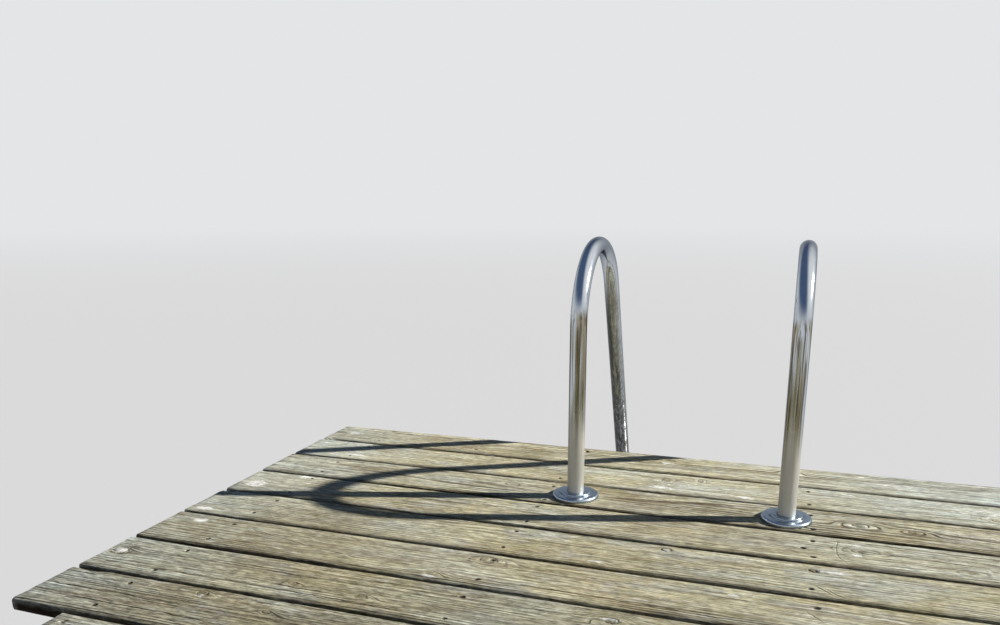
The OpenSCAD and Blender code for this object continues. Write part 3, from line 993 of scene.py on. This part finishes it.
def make_caps(material):
    """The two beams that clasp the piles of each bent."""
    seat_y = box_size("pile_1_left")[0] / 2 - SEAT_DEPTH
    for bent in range(1, BENTS + 1):
        node = f"cap_beams_{bent}"
        low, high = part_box(node)
        length, both, height = box_size(node)
        width = both / 2 - seat_y
        for face, name in ((-1, "shore"), (1, "head")):
            frame_timber(
                f"cap_timber_{bent}_{name}", node, (length, width, height),
                (0, (low.y + high.y) / 2 + face * (seat_y + width / 2), high.z),
                material, 7000 + 10 * bent + face, bevel=CAP_BEVEL, step=0.05, row_step=0.016,
            )


PILE_CORNERS = 56
PILE_RINGS = 44
PILE_FOOT_SHARE = 0.925
PILE_CRACKS = 4
# Half a crack's width as an angle at the pile's middle, and its depth
PILE_CRACK_WIDTH = 0.012
PILE_CRACK_DEPTH = 0.011


def make_pile(bent, side, material):
    """Round timber with drying cracks, and a seat on each side for a cap beam."""
    node = f"pile_{bent}_{side}"
    width, _, height = box_size(node)
    seat_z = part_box(f"cap_beams_{bent}")[0].z
    top_r = width / 2 + 0.0001
    rng = np.random.default_rng(8000 + 10 * bent + SIDES[side])
    cracks = []
    for _ in range(PILE_CRACKS):
        cracks.append((rng.uniform(0, 2 * math.pi), rng.uniform(0.2, 0.8), rng.uniform(0.3, 0.6)))
    angles = list(np.linspace(0, 2 * math.pi, PILE_CORNERS, endpoint=False))
    for angle, _, _ in cracks:
        angles += [angle - 0.03, angle - 0.010, angle, angle + 0.010, angle + 0.03]
    angles = np.unique(np.mod(angles, 2 * math.pi))
    angles = angles[np.concatenate([[True], np.diff(angles) > 0.004])]
    heights = [z for z in np.linspace(0, height, PILE_RINGS) if abs(z - seat_z) > 0.02]
    heights = np.array(sorted([*heights, seat_z, seat_z + 0.0002]))
    z, a = np.meshgrid(heights, angles, indexing="ij")
    radius = top_r * (PILE_FOOT_SHARE + (1 - PILE_FOOT_SHARE) * z / height)
    uneven = 0.0016 * (1 + soft_noise(a, z, 0.5, 0.22, rng))
    radius -= uneven + 0.0007 * (1 + soft_noise(a, z, 0.12, 0.3, rng))
    check = np.zeros_like(z)
    for angle, middle, reach in cracks:
        off = (a - angle - 0.012 * np.sin(7 * z + angle) + math.pi) % (2 * math.pi) - math.pi
        run = np.clip((z / height - middle) / reach, -1, 1)
        groove = np.exp(-(off / PILE_CRACK_WIDTH) ** 2) * (1 - run ** 2)
        check = np.maximum(check, groove)
        radius -= PILE_CRACK_DEPTH * groove
    radius -= np.where(z > height - 0.006, 0.003, 0.0) + np.where(z < 0.001, 0.004, 0.0)
    seat = top_r - SEAT_DEPTH
    along = radius * np.sin(a)
    along = np.where(z > seat_z + 0.0001, np.clip(along, -seat, seat), along)
    points = np.stack([z, along, -radius * np.cos(a)], 2).reshape(-1, 3)
    faces = turned_over(tube_faces(len(heights), len(angles)))
    pile = mesh_object(f"pile_timber_{bent}_{side}", points, faces, material, CREASE)
    plain = ("sway", "warp", "halo", "knot_near", "bleach", "stain", "edge", "grey", "pith_slope")
    drift = rng.uniform(-20, 20, 3)
    values = {**dict.fromkeys(plain, 0.0), "lines": 1.0, "hole": check, "tone": rng.uniform(-1, 1)}
    vectors = {"knot_at": (0, 0, 0), "rift_on": (0, 0, 0), "rift": (1, 1, 1), "pith": (0, 0.008, -0.006)}
    add_fields(pile, values, {**vectors, "drift": drift})
    upright = Matrix(((0, 0, -1, 0), (0, 1, 0, 0), (1, 0, 0, 0), (0, 0, 0, 1)))
    pile.matrix_world = Matrix.Translation((box_centre(node).x, box_centre(node).y, 0)) @ upright
    settle(pile, "pile_wood", node)


BOLT_SPREAD = 0.045
NUT_TURN = 40.0
NUT_R = 0.016
WASHER_R = 0.026
# Washer, nut and bolt end: the corners and the rings (radius, how far out) of each
BOLT_SHAPES = [
    (24, [(WASHER_R, 0.0), (WASHER_R, 0.003), (0.9 * NUT_R, 0.003)]),
    (6, [(NUT_R, 0.003), (NUT_R, 0.014), (0.9 * NUT_R, 0.016)]),
    (16, [(0.0088, 0.015), (0.0088, 0.022), (0.0076, 0.024)]),
]


def make_bolts(bent, material):
    """Nuts and washers of the bolts that hold the cap beams to the piles, two bolts a pile."""
    low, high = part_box(f"cap_beams_{bent}")
    points, faces = [], []
    for side in SIDES:
        x = box_centre(f"pile_{bent}_{side}").x
        for face, y in ((-1, low.y), (1, high.y)):
            for rise in (-BOLT_SPREAD, BOLT_SPREAD):
                z = (low.z + high.z) / 2 + rise
                for corners, rings in BOLT_SHAPES:
                    around = ring_points(rings, corners, NUT_TURN * rise, face)
                    shape = [(x + u, y + face * out, z + v) for u, v, out in around]
                    join_shape(points, faces, shape, turned_over(tube_faces(len(rings), corners)))
    settle(mesh_object(f"bolts_{bent}", points, faces, material), "tread_steel")


TUBE_CORNERS = 56
POST_STEPS = 6
BEND_STEPS = 48
LEG_STEPS = 12


def rail_path(post_y, foot_z):
    """Middle line of a rail as (y, z): up the post, round the bend and down the slope."""
    path = [(post_y, DECK_TOP + POST_H * step / POST_STEPS) for step in range(POST_STEPS + 1)]
    bend_z = DECK_TOP + POST_H
    for step in range(1, BEND_STEPS + 1):
        angle = (math.pi - RAIL_TILT) * step / BEND_STEPS
        path.append((post_y + BEND_R * (1 - math.cos(angle)), bend_z + BEND_R * math.sin(angle)))
    leg_y, leg_z = path[-1]
    for step in range(1, LEG_STEPS + 1):
        z = leg_z + (foot_z - leg_z) * step / LEG_STEPS
        path.append((leg_y + (leg_z - z) * math.tan(RAIL_TILT), z))
    return path


def make_rail(side, material):
    """One bent tube with smooth walls."""
    node = f"handrail_{side}"
    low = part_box(node)[0]
    middle_x = box_centre(node).x
    path = rail_path(low.y + TUBE_R, low.z + TUBE_R * math.sin(RAIL_TILT))
    slope = math.tan(RAIL_TILT)
    across = Vector((1, 0, 0))
    # How far each point faces away from the sun, for painted shade on the legs
    points, shade_side = [], []
    for index, (y, z) in enumerate(path):
        if index <= POST_STEPS:
            before, after = (y, z - 1), (y, z + 1)
        elif index < POST_STEPS + BEND_STEPS:
            before, after = path[index - 1], path[index + 1]
        else:
            before, after = (y - slope, z + 1), (y + slope, z - 1)
        ahead = Vector((0, after[0] - before[0], after[1] - before[1])).normalized()
        for corner in range(TUBE_CORNERS):
            angle = corner / TUBE_CORNERS * 2 * math.pi
            spoke = across * math.cos(angle) + across.cross(ahead) * math.sin(angle)
            points.append(Vector((middle_x, y, z)) + TUBE_R * spoke)
            shade_side.append(-spoke.x)
    faces = turned_over(tube_faces(len(path), TUBE_CORNERS))
    rail = mesh_object(f"rail_tube_{side}", points, faces, material, CREASE)
    add_fields(rail, {"shade_side": shade_side}, {})
    settle(rail, "tube_steel", node)


FLANGE_CORNERS = 72
FLANGE_CREASE = 35


def arc(middle, height, radius, quarters, steps):
    """Points on a circle in a section, from its outer side up by some quarter turns."""
    angles = [step / steps * quarters * math.pi / 2 for step in range(steps + 1)]
    return [(middle + radius * math.cos(angle), height + radius * math.sin(angle)) for angle in angles]


def make_flange(side, material):
    """Turned flange: a plate with a round rim, a groove and a collar round the tube."""
    node = f"flange_{side}"
    middle = box_centre(node)
    width, _, top = box_size(node)
    rim_r = width / 2
    bore_r = TUBE_R + BORE_CLEAR
    profile = [
        (bore_r, 0.0), (rim_r, 0.0),
        *arc(rim_r - PLATE_EDGE_R, PLATE_T - PLATE_EDGE_R, PLATE_EDGE_R, 1, 6),
        *arc(COLLAR_R + 2 * GROOVE_R, PLATE_T, GROOVE_R, -2, 6), (COLLAR_R, PLATE_T),
        *arc(COLLAR_R - COLLAR_EDGE_R, top - COLLAR_EDGE_R, COLLAR_EDGE_R, 1, 4),
        (bore_r + 0.001, top), (bore_r, top - 0.001),
    ]
    count = len(profile)
    points, faces = [], []
    for corner in range(FLANGE_CORNERS):
        angle = corner / FLANGE_CORNERS * 2 * math.pi
        this, after = corner * count, (corner + 1) % FLANGE_CORNERS * count
        for index, (radius, z) in enumerate(profile):
            ahead = (index + 1) % count
            place = (middle.x + radius * math.cos(angle), middle.y + radius * math.sin(angle), DECK_TOP + z)
            points.append(place)
            faces.append((after + index, after + ahead, this + ahead, this + index))
    flange = mesh_object(f"deck_flange_{side}", points, faces, material, FLANGE_CREASE)
    settle(flange, "tube_steel", node)


def paint_node(name, material):
    """A CAD node that stays, with its own material on every slot."""
    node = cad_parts[name]
    if not node.material_slots:
        node.data.materials.append(material)
    for material_slot in node.material_slots:
        material_slot.material = material


FLOOR_REACH = 120.0
FLOOR_CORNERS = 96
FADE_FROM, FADE_TO = 14, 70
FLOOR_COLOUR = (0.70, 0.705, 0.71, 1.0)
BACKDROP_COLOUR = (0.77, 0.785, 0.80)
OVERHEAD_COLOUR = (0.085, 0.13, 0.235)
OVERHEAD_FROM, OVERHEAD_TO = 0.20, 0.62
SUNWARD_COLOUR = (1.0, 1.0, 1.0)
SUNWARD_FROM, SUNWARD_TO = 0.36, 0.80
FILL_COLOUR = (0.52, 0.76, 1.25, 1.0)
FILL_STRENGTH = 0.10
SUN_COLOUR = (1.0, 0.965, 0.91)
SUN_STRENGTH = 6.45
SUN_SPREAD = math.radians(0.9)
# The sun's way, from the shadows of the rails: how far a shadow runs for each metre of height
SHADOW_X = -1.84
SHADOW_Y = -0.56


def make_floor():
    """Plain pale floor on the level where the piles stand, fading into the backdrop far away."""
    paint = Paint("floor_pale", Roughness=0.9, Specular_IOR_Level=0.2, Base_Color=FLOOR_COLOUR)
    fade = paint.range(paint.length(paint.place()), FADE_FROM, FADE_TO)
    level = paint.range(paint.seen(), 0, 1, FILL_STRENGTH, 1, "LINEAR")
    glow = paint.add("Emission", {"Color": (*BACKDROP_COLOUR, 1.0), "Strength": level})
    blend = paint.add("MixShader", {0: fade, 1: paint.shader.outputs[0], 2: glow})
    paint.set(paint.tree.nodes["Material Output"], "Surface", blend)
    points = [(0.0, 0.0, 0.0), *ring_points([(FLOOR_REACH, 0.0)], FLOOR_CORNERS)]
    faces = [(0, 1 + corner, 1 + (corner + 1) % FLOOR_CORNERS) for corner in range(FLOOR_CORNERS)]
    mesh_object("floor", points, faces, paint.material)


def make_sun():
    """A sun from the photo's side."""
    lamp = bpy.data.lights.new("key", "SUN")
    lamp.energy = SUN_STRENGTH
    lamp.angle = SUN_SPREAD
    lamp.color = SUN_COLOUR
    key = bpy.data.objects.new("key", lamp)
    key.rotation_mode = "QUATERNION"
    key.rotation_quaternion = Vector((SHADOW_X, SHADOW_Y, -1.0)).to_track_quat("-Z", "Y")
    key.location = (6, 4, 8)
    bpy.context.scene.collection.objects.link(key)


def make_world():
    """A plain even fill. What is seen is a pale backdrop, deeper overhead but not near the sun."""
    world = bpy.data.worlds.new("studio")
    world.use_nodes = True
    nodes = Nodes(world.node_tree)
    way = nodes.add("TexCoord", {}, "Generated")
    sunward = Vector((-SHADOW_X, -SHADOW_Y, 1.0)).normalized()
    toward = nodes.add("VectorMath", {0: way, 1: sunward}, "Value", operation="DOT_PRODUCT")
    overhead = nodes.mix(nodes.range(toward, SUNWARD_FROM, SUNWARD_TO), OVERHEAD_COLOUR, SUNWARD_COLOUR)
    rise = nodes.range(nodes.split(way)[2], OVERHEAD_FROM, OVERHEAD_TO)
    backdrop = nodes.mix(rise, BACKDROP_COLOUR, overhead)
    shown = nodes.add("Background", {"Color": backdrop, "Strength": 1.0})
    fill = nodes.tree.nodes["Background"]
    nodes.set(fill, "Color", FILL_COLOUR)
    nodes.set(fill, "Strength", FILL_STRENGTH)
    blend = nodes.add("MixShader", {0: nodes.seen(), 1: fill.outputs[0], 2: shown})
    nodes.set(nodes.tree.nodes["World Output"], "Surface", blend)
    bpy.context.scene.world = world


def build():
    make_camera()
    deck = wood_material(
        "deck_wood", pale=(0.74, 0.715, 0.50), warm=(0.64, 0.575, 0.365), dark=(0.17, 0.135, 0.082),
        algae=(0.45, 0.43, 0.23), grey=(0.70, 0.79, 0.745), ring_gap=0.0085,
    )
    under = wood_material(
        "frame_wood", pale=(0.34, 0.32, 0.26), warm=(0.28, 0.24, 0.17), dark=(0.085, 0.068, 0.046),
        algae=(0.16, 0.18, 0.10), grey=(0.30, 0.30, 0.27), ring_gap=0.007,
    )
    pile = wood_material(
        "pile_wood", pale=(0.30, 0.27, 0.21), warm=(0.23, 0.19, 0.13), dark=(0.07, 0.055, 0.038),
        algae=(0.12, 0.14, 0.07), grey=(0.26, 0.25, 0.22), ring_gap=0.006, soaked=soaked_end,
    )
    # The blue-grey of the rail and flange tints is a painted sky reflection.
    tube = steel_material("rail_steel", (0.57, 0.61, 0.65), 0.09, 0.18, worn=rail_wear_and_reflections)
    plate = steel_material("flange_steel", (0.43, 0.50, 0.57), 0.20, 0.34)
    sheet = steel_material("tread_steel", (0.50, 0.50, 0.49), 0.26, 0.42)
    rubber = rubber_material()
    zinc = galvanised_material()
    dark_screw = screw_material()
    make_screws("deck_screws_head", make_head_boards(deck), dark_screw)
    for bay in range(1, BAYS + 1):
        make_screws(f"deck_screws_bay_{bay}", make_walk_boards(bay, deck), dark_screw)
    make_joists(under)
    make_blocking(under)
    make_caps(under)
    for bent in range(1, BENTS + 1):
        make_bolts(bent, zinc)
        for side in SIDES:
            make_pile(bent, side, pile)
    for side in SIDES:
        make_rail(side, tube)
        make_flange(side, plate)
        paint_node(f"foot_{side}", rubber)
    for step in range(1, TREADS + 1):
        paint_node(f"tread_{step}", sheet)
    make_floor()
    make_sun()
    make_world()
    bpy.context.scene.view_settings.view_transform = "Standard"


build()
